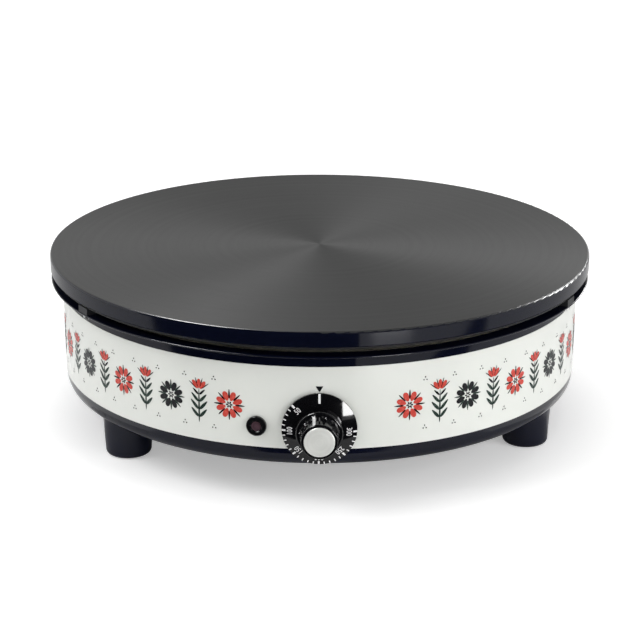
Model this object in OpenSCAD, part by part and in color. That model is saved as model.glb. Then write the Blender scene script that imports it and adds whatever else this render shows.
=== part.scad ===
// Electric crepe maker: a round cast iron cooking plate on a pressed steel pan.
// Millimetres. The origin is on the floor under the middle of the plate.
// +Z is up and the knob faces -Y. Directions round the pan are counted in degrees
// from the knob's side towards +X.

/* [Cooking plate] */
// Diameter of the cooking plate
plate_d = 400; // [380:5:440]
// Height of the plate's thick rim
plate_rim_h = 13; // [12:0.5:16]
// Thickness of the plate inside its rim
plate_web_t = 11; // [9:0.5:11.5]
// Radial width of the thick rim
plate_rim_w = 14; // [12:1:20]
// Rounding of the top edge
plate_edge_r = 1.5; // [0.5:0.25:3]
// Height of the bevel under the rim
plate_bevel_h = 2.5; // [1:0.5:4]
// Radius of the boss that takes the centre stud
plate_boss_r = 16; // [12:1:20]

/* [Pan] */
// Height of the pan from its bottom to its flange
casing_h = 82.8; // [80:1:100]
// How far the pan's wall stands inside the plate's edge
casing_inset = 9.3; // [8.5:0.1:12]
// Thickness of the pressed sheet
sheet_t = 1.2; // [0.8:0.1:1.6]
// Radius of the pan's rounded bottom corner
corner_r = 10; // [6:0.5:12]
// How far the flange stops short of the plate's edge
flange_inset = 0.4; // [0.2:0.1:1.5]
// Width of the flat ring left at the bottom of the pan
ring_w = 50; // [46:1:60]
// Height of the white band
band_h = 59; // [40:1:65]
// Height of the band's lower edge above the pan's bottom
band_lift = 13.8; // [12:0.2:16]
// Thickness of the band
band_t = 0.4; // [0.3:0.1:0.8]
// Width of the gap at the band's seam
band_seam = 0.6; // [0.4:0.1:2]
// How much of the ring the bottom cover overlaps
cover_lap = 8; // [7:0.5:8]

/* [Plate fixings] */
// Gap between the flange and the plate
gap_h = 4.8; // [3:0.2:8]
// How far the fixings lie inside the plate's edge
fixing_inset = 4.6; // [4.4:0.1:5]
// Thread of the fixings
fixing_d = 3; // [2.5:0.5:3]
// Length of a spacer along the rim
spacer_l = 12.4; // [8:0.2:20]
// Radial width of a spacer
spacer_w = 7.4; // [6:0.2:7.6]
// How far the fixings are turned from the knob's line
pattern_turn = 3.6; // [0:0.2:6]

/* [Feet] */
// Height of a foot
foot_h = 27.8; // [20:0.2:40]
// Diameter of a foot at its top
foot_top_d = 36; // [30:0.5:36]
// Diameter of a foot above its bottom rounding
foot_low_d = 33; // [28:0.5:35]
// Rounding of a foot's bottom edge
foot_edge_r = 3.5; // [1:0.5:5]
// How far the feet lie inside the pan's wall
foot_inset = 23.7; // [22:0.1:24]
// How far the feet are turned from the knob's line
foot_turn = 4.4; // [0:0.2:6]
// Thread of the foot screws
foot_screw_d = 5; // [4:0.5:6]

/* [Heating] */
// Diameter of the heating element's tube
element_d = 8; // [6.5:0.5:9]
// How far the outer turn lies inside the plate's edge
element_inset = 48; // [40:1:55]
// Radius of the innermost point of the spiral
element_in_r = 80; // [70:1:90]
// Thickness of the clamp plate
clamp_t = 1.5; // [1:0.1:2.5]
// Thickness of the insulation
blanket_t = 25.9; // [20:0.1:27]
// Height of the tray's rim
tray_rim_h = 22; // [15:1:24]
// Clearance between the tray and the pan's wall
tray_gap = 5.5; // [4:0.5:8]
// Diameter of the sensing bulb
bulb_d = 6; // [5:0.5:7]
// Length of the sensing bulb
bulb_l = 70; // [60:1:80]

/* [Thermostat and knob] */
// Height of the knob's axis above the pan's bottom
knob_lift = 29.4; // [29:0.2:34]
// Diameter of the dial skirt
skirt_d = 51; // [44:0.2:52]
// Thickness of the skirt at its rim
skirt_t = 1.2; // [0.8:0.2:2.4]
// Radius of the skirt's domed face
skirt_dome_r = 75; // [60:1:110]
// Diameter of the collar under the grip
collar_d = 32; // [30:0.5:34]
// Height of the collar from the knob's back
collar_h = 11.6; // [9:0.2:13]
// Diameter of the grip at the collar
grip_base_d = 27.6; // [26:0.2:29]
// Diameter of the grip at its front
grip_end_d = 24.8; // [24:0.2:26]
// Height of the knob from its back to its front rim
knob_h = 24.8; // [22:0.2:28]
// Number of flutes round the grip
flute_n = 12; // [8:1:16]
// Diameter of the metal cap
cap_d = 20.8; // [18:0.2:22]
// Clearance between the knob's back and the band
knob_gap = 1.2; // [0.8:0.1:2]
// Diameter of the thermostat's spindle
spindle_d = 6; // [5:0.5:6.5]
// Width, depth and height of the thermostat
thermostat_size = [44, 34, 40];

/* [Pilot lamp] */
// Diameter of the lamp's bezel
lamp_d = 14; // [12:0.2:18]
// Diameter of the lamp's lens
lens_d = 6.6; // [5:0.2:7]
// Direction of the lamp round the pan
lamp_turn = -12.8; // [-16:0.2:-12]
// Height of the lamp's axis above the pan's bottom
lamp_lift = 29.2; // [26:0.2:34]

/* [Supply side] */
// Diameter of the opening in the cord gland
gland_bore_d = 8.5; // [6:0.5:9.5]
// Thread diameter of the cord gland
gland_d = 16; // [14:0.5:18]
// Height of the gland's axis above the pan's bottom
gland_lift = 27; // [24:0.5:34]
// Width, depth and height of the terminal block
block_size = [40, 18, 17];

/* [Hidden] */
$fn = 96;
// Running clearance of the spindle in its bush
run_gap = 0.05;
// Radial clearance of screws and studs in plain holes
hole_gap = 0.3;
// Radial clearance of threads in their tapped holes
thread_gap = 0.1;
// Clearance between the band and the pan's wall
band_fit = 0.05;
// Clearance between a foot's top and the pan's rounded edge
foot_gap = 0.05;
// Overshoot of cutting shapes
cut = 1;

plate_r = plate_d / 2;
casing_r = plate_r - casing_inset;
flange_r = plate_r - flange_inset;
band_in_r = casing_r + band_fit;
band_r = band_in_r + band_t;
inner_r = casing_r - sheet_t;
ring_in_r = casing_r - ring_w;
cover_r = ring_in_r + cover_lap;
foot_ring_r = casing_r - foot_inset;
fixing_ring_r = plate_r - fixing_inset;
plate_bevel_w = 2;

z_pan = foot_h;
z_floor = z_pan + sheet_t;
z_flange = z_pan + casing_h;
z_rim = z_flange + gap_h;
z_top = z_rim + plate_rim_h;
z_web = z_top - plate_web_t;
z_element = z_web - element_d / 2;
z_clamp_top = z_web - element_d;
z_clamp = z_clamp_top - clamp_t;
z_tray_top = z_clamp - blanket_t;
z_tray = z_tray_top - sheet_t;
z_band = z_pan + band_lift;
z_knob = z_pan + knob_lift;
z_lamp = z_pan + lamp_lift;
z_gland = z_pan + gland_lift;

// Directions of the three plate fixings and of the three feet
fixing_turns = [for (i = [0:2]) pattern_turn + 60 + 120 * i];
foot_turns = [for (i = [0:2]) foot_turn + 60 + 120 * i];

// Fixings under the rim
fixing_depth = 8;
fixing_nut_af = 5.5;
fixing_nut_h = 2.4;
fixing_tail = 1.2;

// Stack on the centre stud
stud_d = 8;
stud_depth = 14;
stud_nut_af = 13;
stud_nut_h = 6.5;
stud_washer_d = 16;
stud_washer_t = 1.6;
stud_tail = 3;
blanket_eye_r = stud_washer_d / 2 + 1;

// Spiral of the heating element and its two legs
element_r = element_d / 2;
element_out_r = plate_r - element_inset;
element_turns = 2;
element_bend = 14;
element_steps = 44;
element_sides = 10;
bush_wall = 4;
bush_h = 8;
leg_tail = 0.8;
z_leg = z_tray - bush_h - leg_tail;
leg_spots = [[element_out_r, -element_bend], [element_in_r, element_bend]];
pin_d = 3.2;
pin_h = 8;
pin_bead_d = 7.2;
pin_bead_h = 4;
z_pin = z_leg - pin_bead_h - pin_h;

clamp_plate_r = plate_r - 28;
tray_r = inner_r - tray_gap;
blanket_r = tray_r - sheet_t - 0.3;

// Sensing bulb between the two turns of the spiral
// Being straight between curved turns, it sits half its own bow inside their middle.
bulb_ring_r = (element_out_r + element_in_r) / 2;
bulb_x = bulb_l * bulb_l / 16 / bulb_ring_r - bulb_ring_r;
bulb_y = 0;
holder_wall = 4;
holder_size = [bulb_d + 2 * holder_wall, 12];
capillary_d = 2.4;
capillary_drop = [bulb_x + 12, bulb_y - bulb_l / 2 - 15];
capillary_hole_r = 3;

// Thermostat on its bracket behind the knob
bracket_y = casing_r - 12.7;
bracket_w = 50;
bracket_t = 1.5;
bracket_foot = 20;
bracket_top = z_knob + 18;
thermostat_y = bracket_y - bracket_t;
thermostat_screw_x = 14;
thermostat_screw_d = 4;
bracket_screw_x = 18;
bracket_screw_y = bracket_y - 12;
screw_head_h = 2.4;
blade_x = [-12, 0, 12];
blade_size = [6.3, 8, 0.8];
blade_z = z_knob - 12;

// Knob
knob_y = band_r + knob_gap;
skirt_recess = 1;
edge_small = 0.8;
collar_edge = 1.5;
flute_r = 2.2;
flute_ring_r = grip_end_d / 2 + flute_r;
flute_turn = 16.5;
cap_depth = 1;
cap_proud = 0.5;
knob_bore_depth = 16;
spindle_flat = 1.2;
spindle_in = 16;
clip_t = 0.5;
clip_gap = 0.1;
shaft_hole_r = 6;

// Pilot lamp
bezel_t = 2.4;
barrel_d = 9.8;
barrel_l = 14;
lamp_nut_af = 14;
lamp_nut_t = 3;
lens_l = 4;
lamp_tail_l = 16;
lamp_pin_x = 2;
lamp_pin_l = 5;

// Gland
gland_af = 22;
gland_flange_t = 6;
gland_cap_h = 20.5;
gland_cap_hex = 12;
gland_gap = 0.02;
gland_in = 15;
gland_nut_t = 4;

// Terminal block, earth stud and cut-out
block_turn = 150;
block_ring_r = foot_ring_r - 7;
ways = [-13.5, -4.5, 4.5, 13.5];
way_d = 4.4;
way_z = 8;
block_screw_d = 3;
earth_turn = 165;
earth_d = 4;
earth_l = 12;
earth_nut_af = 7;
earth_nut_h = 3.2;
cutout_spot = [50, -50];
cutout_d = 16;
cutout_h = 10;
cutout_ear = [32, 10, 1];
cutout_screw_x = 12;
cutout_pin_x = 4;
cutout_pin_h = 6;
cutout_screw_d = 3;
cutout_screw_l = 6;

// Bottom cover
cover_screw_n = 6;
cover_screw_d = 3.5;
cover_screw_l = 6.4;
cover_screw_r = ring_in_r + cover_lap / 2;
vent_n = 24;
vent_w = 5;
vent_in_r = 60;
vent_out_r = 105;

wire_d = 2.6;
wire_gap = 0.2;
// Straight length of a wire as it leaves a block, a blade or a pin
wire_run = 16;
wire_drop = 9;

// ---- Shared shapes ----

// A point in direction a, at radius r, t to the side and at height z
function spot(a, r, t, z) = [sin(a) * r + cos(a) * t, sin(a) * t - cos(a) * r, z];

// Places children in each of the given directions, on a circle and at height z
module around(turns, r, z) {
    for (a = turns) rotate([0, 0, a]) translate([0, -r, z]) children();
}

// Children built along +Z stand out of the wall in direction a
module outward(a, r, z) {
    rotate([0, 0, a]) translate([0, -r, z]) rotate([90, 0, 0]) children();
}

module nut(af, h, hole_d) {
    difference() {
        cylinder(h = h, d = af / cos(30), $fn = 6);
        translate([0, 0, -cut]) cylinder(h = h + 2 * cut, d = hole_d);
    }
}

module washer(d, t, hole_d) {
    difference() {
        cylinder(h = t, d = d);
        translate([0, 0, -cut]) cylinder(h = t + 2 * cut, d = hole_d);
    }
}

// A pan head screw that points up from z = 0, with its head below
module screw_up(d, l, head_d, head_h) {
    cylinder(h = l, d = d);
    translate([0, 0, -head_h]) cylinder(h = head_h, d = head_d);
}

// ---- Tubes swept along a path ----

function mix(a, b, t) = a * (1 - t) + b * t;

// One step of corner cutting, which keeps both ends
function cut_corners(p) = concat([p[0]],
    [for (i = [0:len(p) - 2]) each [mix(p[i], p[i + 1], 0.25), mix(p[i], p[i + 1], 0.75)]],
    [p[len(p) - 1]]);

function unit(v) = v / norm(v);

function heading(p, i) = i == 0 ? unit(p[1] - p[0])
    : i == len(p) - 1 ? unit(p[i] - p[i - 1])
    : unit(unit(p[i + 1] - p[i]) + unit(p[i] - p[i - 1]));

// The side vector at each point, turned as little as possible from one to the next
function sides_along(p, side, i = 0) = i == len(p) ? []
    : let(h = heading(p, i), s = unit(side - h * (side * h)))
      concat([s], sides_along(p, s, i + 1));

module sweep(p, d, sides, first_side) {
    s = sides_along(p, first_side);
    rings = [for (i = [0:len(p) - 1])
        let(h = heading(p, i), u = s[i], v = cross(h, u))
        for (k = [0:sides - 1])
            p[i] + d / 2 * (u * cos(360 * k / sides) + v * sin(360 * k / sides))];
    last = (len(p) - 1) * sides;
    walls = [for (i = [0:len(p) - 2]) for (k = [0:sides - 1])
        let(a = i * sides + k, b = i * sides + (k + 1) % sides)
        each [[a, b + sides, b], [a, a + sides, b + sides]]];
    polyhedron(rings, concat(walls, [[for (k = [0:sides - 1]) k]],
        [[for (k = [sides - 1:-1:0]) last + k]]));
}

module wire(p) {
    sweep(cut_corners(cut_corners(p)), wire_d, 8, [0.3, 0.5, 0.8]);
}

// ---- Cooking plate and its fixings ----

module plate_section() {
    low_r = plate_r - plate_rim_w;
    edge = plate_edge_r;
    polygon([[0, z_web], [low_r, z_web], [low_r, z_rim], [plate_r - plate_bevel_w, z_rim],
        [plate_r, z_rim + plate_bevel_h], [plate_r, z_top - edge],
        [plate_r - edge, z_top - edge], [plate_r - edge, z_top], [0, z_top]]);
    translate([plate_r - edge, z_top - edge]) circle(r = edge);
}

module griddle_plate() {
    color([0.33, 0.33, 0.34]) difference() {
        union() {
            rotate_extrude() plate_section();
            translate([0, 0, z_clamp_top]) cylinder(h = element_d + cut, r = plate_boss_r);
        }
        translate([0, 0, z_clamp_top - cut])
            cylinder(h = stud_depth + cut, d = stud_d + 2 * thread_gap);
        around(fixing_turns, fixing_ring_r, z_rim - cut)
            cylinder(h = fixing_depth + cut, d = fixing_d + 2 * thread_gap);
    }
}

module plate_spacers() {
    color([0.18, 0.18, 0.2]) around(fixing_turns, fixing_ring_r, z_flange) difference() {
        translate([-spacer_l / 2, -spacer_w / 2, 0]) cube([spacer_l, spacer_w, gap_h]);
        translate([0, 0, -cut]) cylinder(h = gap_h + 2 * cut, d = fixing_d + 2 * hole_gap);
    }
}

z_fixing_nut = z_flange - sheet_t - fixing_nut_h;

module plate_studs() {
    z_low = z_fixing_nut - fixing_tail;
    color("silver") around(fixing_turns, fixing_ring_r, z_low)
        cylinder(h = z_rim + fixing_depth - thread_gap - z_low, d = fixing_d);
}

module plate_nuts() {
    color("silver") around(fixing_turns, fixing_ring_r, z_fixing_nut)
        nut(fixing_nut_af, fixing_nut_h, fixing_d + 2 * thread_gap);
}

// ---- Centre stud and what it clamps ----

z_upper_washer = z_clamp - stud_washer_t;
z_upper_nut = z_upper_washer - stud_nut_h;
z_lower_washer = z_tray - stud_washer_t;
z_lower_nut = z_lower_washer - stud_nut_h;

module centre_stud() {
    z_low = z_lower_nut - stud_tail;
    color("silver") translate([0, 0, z_low])
        cylinder(h = z_clamp_top + stud_depth - thread_gap - z_low, d = stud_d);
}

module centre_nuts() {
    color("silver") for (z = [z_upper_nut, z_lower_nut])
        translate([0, 0, z]) nut(stud_nut_af, stud_nut_h, stud_d + 2 * thread_gap);
}

module centre_washers() {
    color("silver") for (z = [z_upper_washer, z_lower_washer])
        translate([0, 0, z]) washer(stud_washer_d, stud_washer_t, stud_d + 2 * hole_gap);
}

module clamp_plate() {
    color([0.75, 0.75, 0.76]) translate([0, 0, z_clamp]) difference() {
        cylinder(h = clamp_t, r = clamp_plate_r);
        translate([0, 0, -cut]) {
            cylinder(h = clamp_t + 2 * cut, d = stud_d + 2 * hole_gap);
            for (leg = leg_spots) translate([leg[0], leg[1] * 0.75, 0])
                cylinder(h = clamp_t + 2 * cut, r = element_r + 5.5);
            translate([capillary_drop[0], capillary_drop[1], 0])
                cylinder(h = clamp_t + 2 * cut, r = capillary_hole_r);
        }
    }
}

module insulation_blanket() {
    color([0.9, 0.88, 0.8]) translate([0, 0, z_tray_top]) difference() {
        cylinder(h = blanket_t, r = blanket_r);
        translate([0, 0, -cut]) {
            cylinder(h = blanket_t + 2 * cut, r = blanket_eye_r);
            for (leg = leg_spots) translate([leg[0], leg[1] * 0.92, 0])
                cylinder(h = blanket_t + 2 * cut, r = element_r + 4);
            translate([capillary_drop[0], capillary_drop[1], 0])
                cylinder(h = blanket_t + 2 * cut, r = capillary_hole_r);
            for (x = [-1, 1]) translate([cutout_spot[0] + x * cutout_screw_x, cutout_spot[1], 0])
                cylinder(h = cutout_screw_l + cut, d = 2 * cutout_screw_d);
        }
    }
}

module insulation_tray() {
    color([0.7, 0.7, 0.72]) difference() {
        rotate_extrude() polygon([[0, z_tray], [tray_r, z_tray],
            [tray_r, z_tray_top + tray_rim_h], [tray_r - sheet_t, z_tray_top + tray_rim_h],
            [tray_r - sheet_t, z_tray_top], [0, z_tray_top]]);
        translate([0, 0, z_tray - cut]) {
            cylinder(h = sheet_t + 2 * cut, d = stud_d + 2 * hole_gap);
            for (leg = leg_spots) translate([leg[0], leg[1], 0])
                cylinder(h = sheet_t + 2 * cut, r = element_r + hole_gap);
            translate([capillary_drop[0], capillary_drop[1], 0])
                cylinder(h = sheet_t + 2 * cut, r = capillary_hole_r);
            for (x = [-1, 1]) translate([cutout_spot[0] + x * cutout_screw_x, cutout_spot[1], 0])
                cylinder(h = sheet_t + 2 * cut, d = cutout_screw_d + 2 * thread_gap);
        }
    }
}

// ---- Heating element ----

function spiral_point(a) = let(r = mix(element_out_r, element_in_r, a / 360 / element_turns))
    [r * cos(a), r * sin(a), z_element];

// From the foot of one leg up into the spiral, round it, and down the other leg
element_path = concat(
    [[element_out_r, -element_bend, z_leg]],
    [for (s = [0:15:75])
        [element_out_r, -element_bend * cos(s), z_element - element_bend * (1 - sin(s))]],
    [for (i = [0:element_steps * element_turns]) spiral_point(360 * i / element_steps)],
    [for (s = [75:-15:0])
        [element_in_r, element_bend * cos(s), z_element - element_bend * (1 - sin(s))]],
    [[element_in_r, element_bend, z_leg]]);

module heating_element() {
    color([0.45, 0.44, 0.42]) sweep(element_path, element_d, element_sides, [1, 0, 0]);
}

module element_bushes() {
    color("silver") for (leg = leg_spots) translate([leg[0], leg[1], z_tray - bush_h])
        washer(element_d + 2 * bush_wall, bush_h, element_d + 2 * hole_gap);
}

module element_pins() {
    color("silver") for (leg = leg_spots) translate([leg[0], leg[1], z_pin]) {
        cylinder(h = pin_h, d = pin_d);
        translate([0, 0, pin_h]) cylinder(h = pin_bead_h, d = pin_bead_d);
    }
}

// ---- Sensing bulb ----

module sensing_bulb() {
    color("peru") translate([bulb_x, bulb_y - bulb_l / 2, z_web - bulb_d / 2])
        rotate([-90, 0, 0]) cylinder(h = bulb_l, d = bulb_d);
}

module bulb_holder() {
    color("silver") difference() {
        translate([bulb_x - holder_size[0] / 2, bulb_y - holder_size[1] / 2, z_clamp_top])
            cube([holder_size[0], holder_size[1], element_d]);
        translate([bulb_x, bulb_y - holder_size[1] / 2 - cut, z_web - bulb_d / 2])
            rotate([-90, 0, 0]) cylinder(h = holder_size[1] + 2 * cut, d = bulb_d + 2 * run_gap);
    }
}

capillary_path = [
    [bulb_x, bulb_y - bulb_l / 2, z_web - bulb_d / 2],
    [bulb_x, bulb_y - bulb_l / 2 - 6, z_web - bulb_d / 2],
    [capillary_drop[0], capillary_drop[1], z_web - bulb_d / 2],
    [capillary_drop[0], capillary_drop[1], z_clamp],
    [capillary_drop[0], capillary_drop[1], z_tray],
    [capillary_drop[0], capillary_drop[1], z_tray - 16],
    [capillary_drop[0] + 20, capillary_drop[1] - 20, z_knob + 4],
    [-45, -105, z_knob + 4],
    [-10, thermostat_size[1] - thermostat_y + 26, z_knob + 8],
    [-10, thermostat_size[1] - thermostat_y + 10, z_knob + 8],
    [-10, thermostat_size[1] - thermostat_y, z_knob + 8]];

module capillary_tube() {
    color("peru") sweep(cut_corners(cut_corners(capillary_path)), capillary_d, 8, [1, 0, 0]);
}

// ---- Pan, band and bottom cover ----

module casing_section() {
    translate([inner_r, z_pan + corner_r]) square([sheet_t, casing_h - corner_r]);
    translate([casing_r - corner_r, z_pan + corner_r]) intersection() {
        difference() {
            circle(r = corner_r);
            circle(r = corner_r - sheet_t);
        }
        translate([0, -corner_r]) square(corner_r);
    }
    translate([ring_in_r, z_pan]) square([casing_r - corner_r - ring_in_r, sheet_t]);
    translate([inner_r, z_flange - sheet_t])
        square([flange_r - sheet_t / 2 - inner_r, sheet_t]);
    translate([flange_r - sheet_t / 2, z_flange - sheet_t / 2]) circle(d = sheet_t);
}

// The holes that the pan's wall and the band share
module wall_holes() {
    depth = casing_inset + ring_w;
    outward(0, casing_r - depth / 2, z_knob) cylinder(h = depth, r = shaft_hole_r);
    outward(lamp_turn, casing_r - depth / 2, z_lamp)
        cylinder(h = depth, d = barrel_d + 2 * hole_gap);
    outward(180, casing_r - depth / 2, z_gland)
        cylinder(h = depth, d = gland_d + 2 * hole_gap);
}

module casing() {
    color([0.06, 0.07, 0.1]) difference() {
        rotate_extrude() casing_section();
        wall_holes();
        around(fixing_turns, fixing_ring_r, z_flange - sheet_t - cut)
            cylinder(h = sheet_t + 2 * cut, d = fixing_d + 2 * hole_gap);
        around(foot_turns, foot_ring_r, z_pan - cut)
            cylinder(h = sheet_t + 2 * cut, d = foot_screw_d + 2 * hole_gap);
        around(cover_screw_turns, cover_screw_r, z_pan - cut)
            cylinder(h = sheet_t + 2 * cut, d = cover_screw_d + 2 * thread_gap);
        for (x = [-1, 1]) translate([x * bracket_screw_x, -bracket_screw_y, z_pan - cut])
            cylinder(h = sheet_t + 2 * cut, d = thermostat_screw_d + 2 * hole_gap);
        around([block_turn], block_ring_r, z_pan - cut) for (x = block_screw_xs)
            translate([x, 0, 0]) cylinder(h = sheet_t + 2 * cut, d = block_screw_d + 2 * hole_gap);
        around([earth_turn], block_ring_r, z_pan - cut)
            cylinder(h = sheet_t + 2 * cut, d = earth_d + 2 * thread_gap);
    }
}

module decor_band() {
    color([0.87, 0.89, 0.85]) difference() {
        translate([0, 0, z_band]) difference() {
            cylinder(h = band_h, r = band_r);
            translate([0, 0, -cut]) cylinder(h = band_h + 2 * cut, r = band_in_r);
        }
        wall_holes();
        translate([-band_seam / 2, casing_r - cut, z_band - cut])
            cube([band_seam, band_t + 2 * cut, band_h + 2 * cut]);
    }
}

cover_screw_turns = [for (i = [0:cover_screw_n - 1]) pattern_turn + 360 / cover_screw_n * i];

module vent() {
    translate([-vent_w / 2, -vent_out_r, -cut])
        cube([vent_w, vent_out_r - vent_in_r, sheet_t + 2 * cut]);
    for (r = [vent_in_r, vent_out_r]) translate([0, -r, -cut])
        cylinder(h = sheet_t + 2 * cut, d = vent_w);
}

module base_cover() {
    color([0.12, 0.12, 0.13]) translate([0, 0, z_pan - sheet_t]) difference() {
        cylinder(h = sheet_t, r = cover_r);
        for (i = [0:vent_n - 1]) rotate([0, 0, 360 / vent_n * i]) vent();
        around(cover_screw_turns, cover_screw_r, -cut)
            cylinder(h = sheet_t + 2 * cut, d = cover_screw_d + 2 * hole_gap);
    }
}

module base_screws() {
    color("silver") around(cover_screw_turns, cover_screw_r, z_pan - sheet_t)
        screw_up(cover_screw_d, cover_screw_l, 2 * cover_screw_d, 2.2);
}

// ---- Feet ----

// How far a foot rises into the pan's rounded edge
foot_lip = 1.6;
foot_bore_r = 6;
foot_bore_h = 12;
foot_nut_af = 8;
foot_nut_h = 4;

module foot_section() {
    low_r = foot_low_d / 2;
    flat_r = low_r - foot_edge_r;
    polygon([[0, 0], [flat_r, 0], [low_r, foot_edge_r], [foot_top_d / 2, foot_h],
        [foot_top_d / 2, foot_h + foot_lip], [0, foot_h + foot_lip]]);
    translate([flat_r, foot_edge_r]) circle(r = foot_edge_r);
}

// The pan's outside that the tops of the feet are fitted to
module pan_shape() {
    flat_r = casing_r - corner_r;
    translate([0, z_pan]) square([flat_r, corner_r]);
    translate([flat_r, z_pan + corner_r]) circle(r = corner_r + foot_gap);
}

module feet() {
    color([0.07, 0.07, 0.09]) difference() {
        around(foot_turns, foot_ring_r, 0) difference() {
            rotate_extrude() foot_section();
            translate([0, 0, -cut]) {
                cylinder(h = foot_bore_h + cut, r = foot_bore_r);
                cylinder(h = foot_h + 2 * cut, d = foot_screw_d + 2 * hole_gap);
            }
        }
        rotate_extrude() pan_shape();
    }
}

module foot_screws() {
    color("silver") around(foot_turns, foot_ring_r, foot_bore_h)
        screw_up(foot_screw_d, z_floor + foot_nut_h + 2 - foot_bore_h, 9.4, 3.4);
}

module foot_nuts() {
    color("silver") around(foot_turns, foot_ring_r, z_floor)
        nut(foot_nut_af, foot_nut_h, foot_screw_d + 2 * thread_gap);
}

// ---- Thermostat ----

module thermostat_bracket() {
    color("silver") difference() {
        union() {
            translate([-bracket_w / 2, -bracket_y, z_floor])
                cube([bracket_w, bracket_t, bracket_top - z_floor]);
            translate([-bracket_w / 2, -bracket_y, z_floor])
                cube([bracket_w, bracket_foot, bracket_t]);
        }
        outward(0, bracket_y - bracket_t - cut, z_knob) {
            cylinder(h = bracket_t + 2 * cut, d = spindle_d + 2);
            for (x = [-1, 1]) translate([x * thermostat_screw_x, 0, 0])
                cylinder(h = bracket_t + 2 * cut, d = thermostat_screw_d + 2 * hole_gap);
        }
        for (x = [-1, 1]) translate([x * bracket_screw_x, -bracket_screw_y, z_floor - cut])
            cylinder(h = bracket_t + 2 * cut, d = thermostat_screw_d + 2 * hole_gap);
    }
}

module bracket_screws() {
    color("silver") for (x = [-1, 1])
        translate([x * bracket_screw_x, -bracket_screw_y, z_pan])
            screw_up(thermostat_screw_d, sheet_t + bracket_t + earth_nut_h + 1.2, 7.5, 2.2);
}

module bracket_nuts() {
    color("silver") for (x = [-1, 1])
        translate([x * bracket_screw_x, -bracket_screw_y, z_floor + bracket_t])
            nut(earth_nut_af, earth_nut_h, thermostat_screw_d + 2 * thread_gap);
}

module thermostat_body() {
    size = thermostat_size;
    color([0.85, 0.82, 0.72]) difference() {
        translate([-size[0] / 2, -thermostat_y, z_knob - size[2] / 2]) cube(size);
        outward(0, thermostat_y - spindle_in, z_knob)
            cylinder(h = spindle_in + cut, d = spindle_d + 2 * run_gap);
        for (x = [-1, 1]) outward(0, thermostat_y - 8, z_knob)
            translate([x * thermostat_screw_x, 0, 0])
                cylinder(h = 8 + cut, d = thermostat_screw_d + 2 * thread_gap);
    }
}

module thermostat_blades() {
    color("goldenrod") for (x = blade_x)
        translate([x - blade_size[0] / 2, thermostat_size[1] - thermostat_y, blade_z])
            cube(blade_size);
}

module thermostat_screws() {
    color("silver") for (x = [-1, 1]) outward(0, bracket_y, z_knob)
        translate([x * thermostat_screw_x, 0, -bracket_t - 7.6]) {
            cylinder(h = bracket_t + 7.6, d = thermostat_screw_d);
            translate([0, 0, bracket_t + 7.6]) cylinder(h = screw_head_h, d = 7.5);
        }
}

spindle_tip = knob_y + knob_bore_depth - 2;

// Round, with a flat on the length that sits in the knob
module thermostat_spindle() {
    back = thermostat_y - spindle_in + 0.6;
    color("silver") outward(0, back, z_knob) difference() {
        cylinder(h = spindle_tip - back, d = spindle_d);
        translate([-spindle_d, spindle_d / 2 - spindle_flat, knob_y - back])
            cube([2 * spindle_d, spindle_d, knob_bore_depth + cut]);
    }
}

// ---- Knob ----

// A box with its outer top corner rounded, from the axis to radius r and height h
module round_step(r, h, edge) {
    square([r, h - edge]);
    square([r - edge, h]);
    translate([r - edge, h - edge]) circle(r = edge);
}

module skirt() {
    skirt_r = skirt_d / 2;
    drop = sqrt(skirt_dome_r * skirt_dome_r - skirt_r * skirt_r);
    intersection() {
        cylinder(h = collar_h, r = skirt_r);
        translate([0, 0, skirt_t - drop]) sphere(r = skirt_dome_r);
    }
}

module grip_section() {
    round_step(collar_d / 2, collar_h, collar_edge);
    polygon([[0, collar_h], [grip_base_d / 2, collar_h], [grip_end_d / 2, knob_h - edge_small],
        [grip_end_d / 2 - edge_small, knob_h], [0, knob_h]]);
    translate([grip_end_d / 2 - edge_small, knob_h - edge_small]) circle(r = edge_small);
}

module knob() {
    flat_y = spindle_d / 2 - spindle_flat + clip_t + 2 * clip_gap;
    color([0.03, 0.03, 0.04]) outward(0, knob_y, z_knob) difference() {
        union() {
            skirt();
            rotate_extrude() grip_section();
        }
        translate([0, 0, -cut]) difference() {
            cylinder(h = knob_bore_depth + cut, d = spindle_d + 2 * run_gap);
            translate([-spindle_d, flat_y, 0])
                cube([2 * spindle_d, spindle_d, knob_bore_depth + cut]);
        }
        translate([0, 0, -cut]) difference() {
            cylinder(h = skirt_recess + cut, r = skirt_d / 2 - 3);
            cylinder(h = skirt_recess + cut, r = spindle_d / 2 + 5);
        }
        translate([0, 0, knob_h - cap_depth]) cylinder(h = cap_depth + cut, d = cap_d + 0.2);
        for (i = [0:flute_n - 1]) rotate([0, 0, flute_turn + 360 / flute_n * i])
            translate([0, flute_ring_r, collar_h + flute_r]) {
                cylinder(h = knob_h, r = flute_r);
                sphere(r = flute_r);
            }
    }
}

module knob_cap() {
    color("silver") outward(0, knob_y + knob_h - cap_depth, z_knob)
        rotate_extrude() round_step(cap_d / 2, cap_depth + cap_proud, 0.4);
}

module spindle_clip() {
    flat_y = spindle_d / 2 - spindle_flat + clip_gap;
    color("silver") outward(0, knob_y + 3, z_knob)
        translate([-1.5, flat_y, 0]) cube([3, clip_t, 10]);
}

// ---- Pilot lamp ----

module lamp_bezel() {
    color([0.05, 0.05, 0.06]) outward(lamp_turn, band_r + 0.02, z_lamp) difference() {
        union() {
            rotate_extrude() round_step(lamp_d / 2, bezel_t, 0.9);
            translate([0, 0, -barrel_l]) cylinder(h = barrel_l + cut, d = barrel_d);
        }
        translate([0, 0, bezel_t - 1]) cylinder(h = 1 + cut, r1 = lens_d / 2, r2 = lens_d / 2 + 1.8);
        translate([0, 0, -barrel_l - cut])
            cylinder(h = barrel_l + bezel_t + 2 * cut, d = lens_d + 0.1);
    }
}

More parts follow.
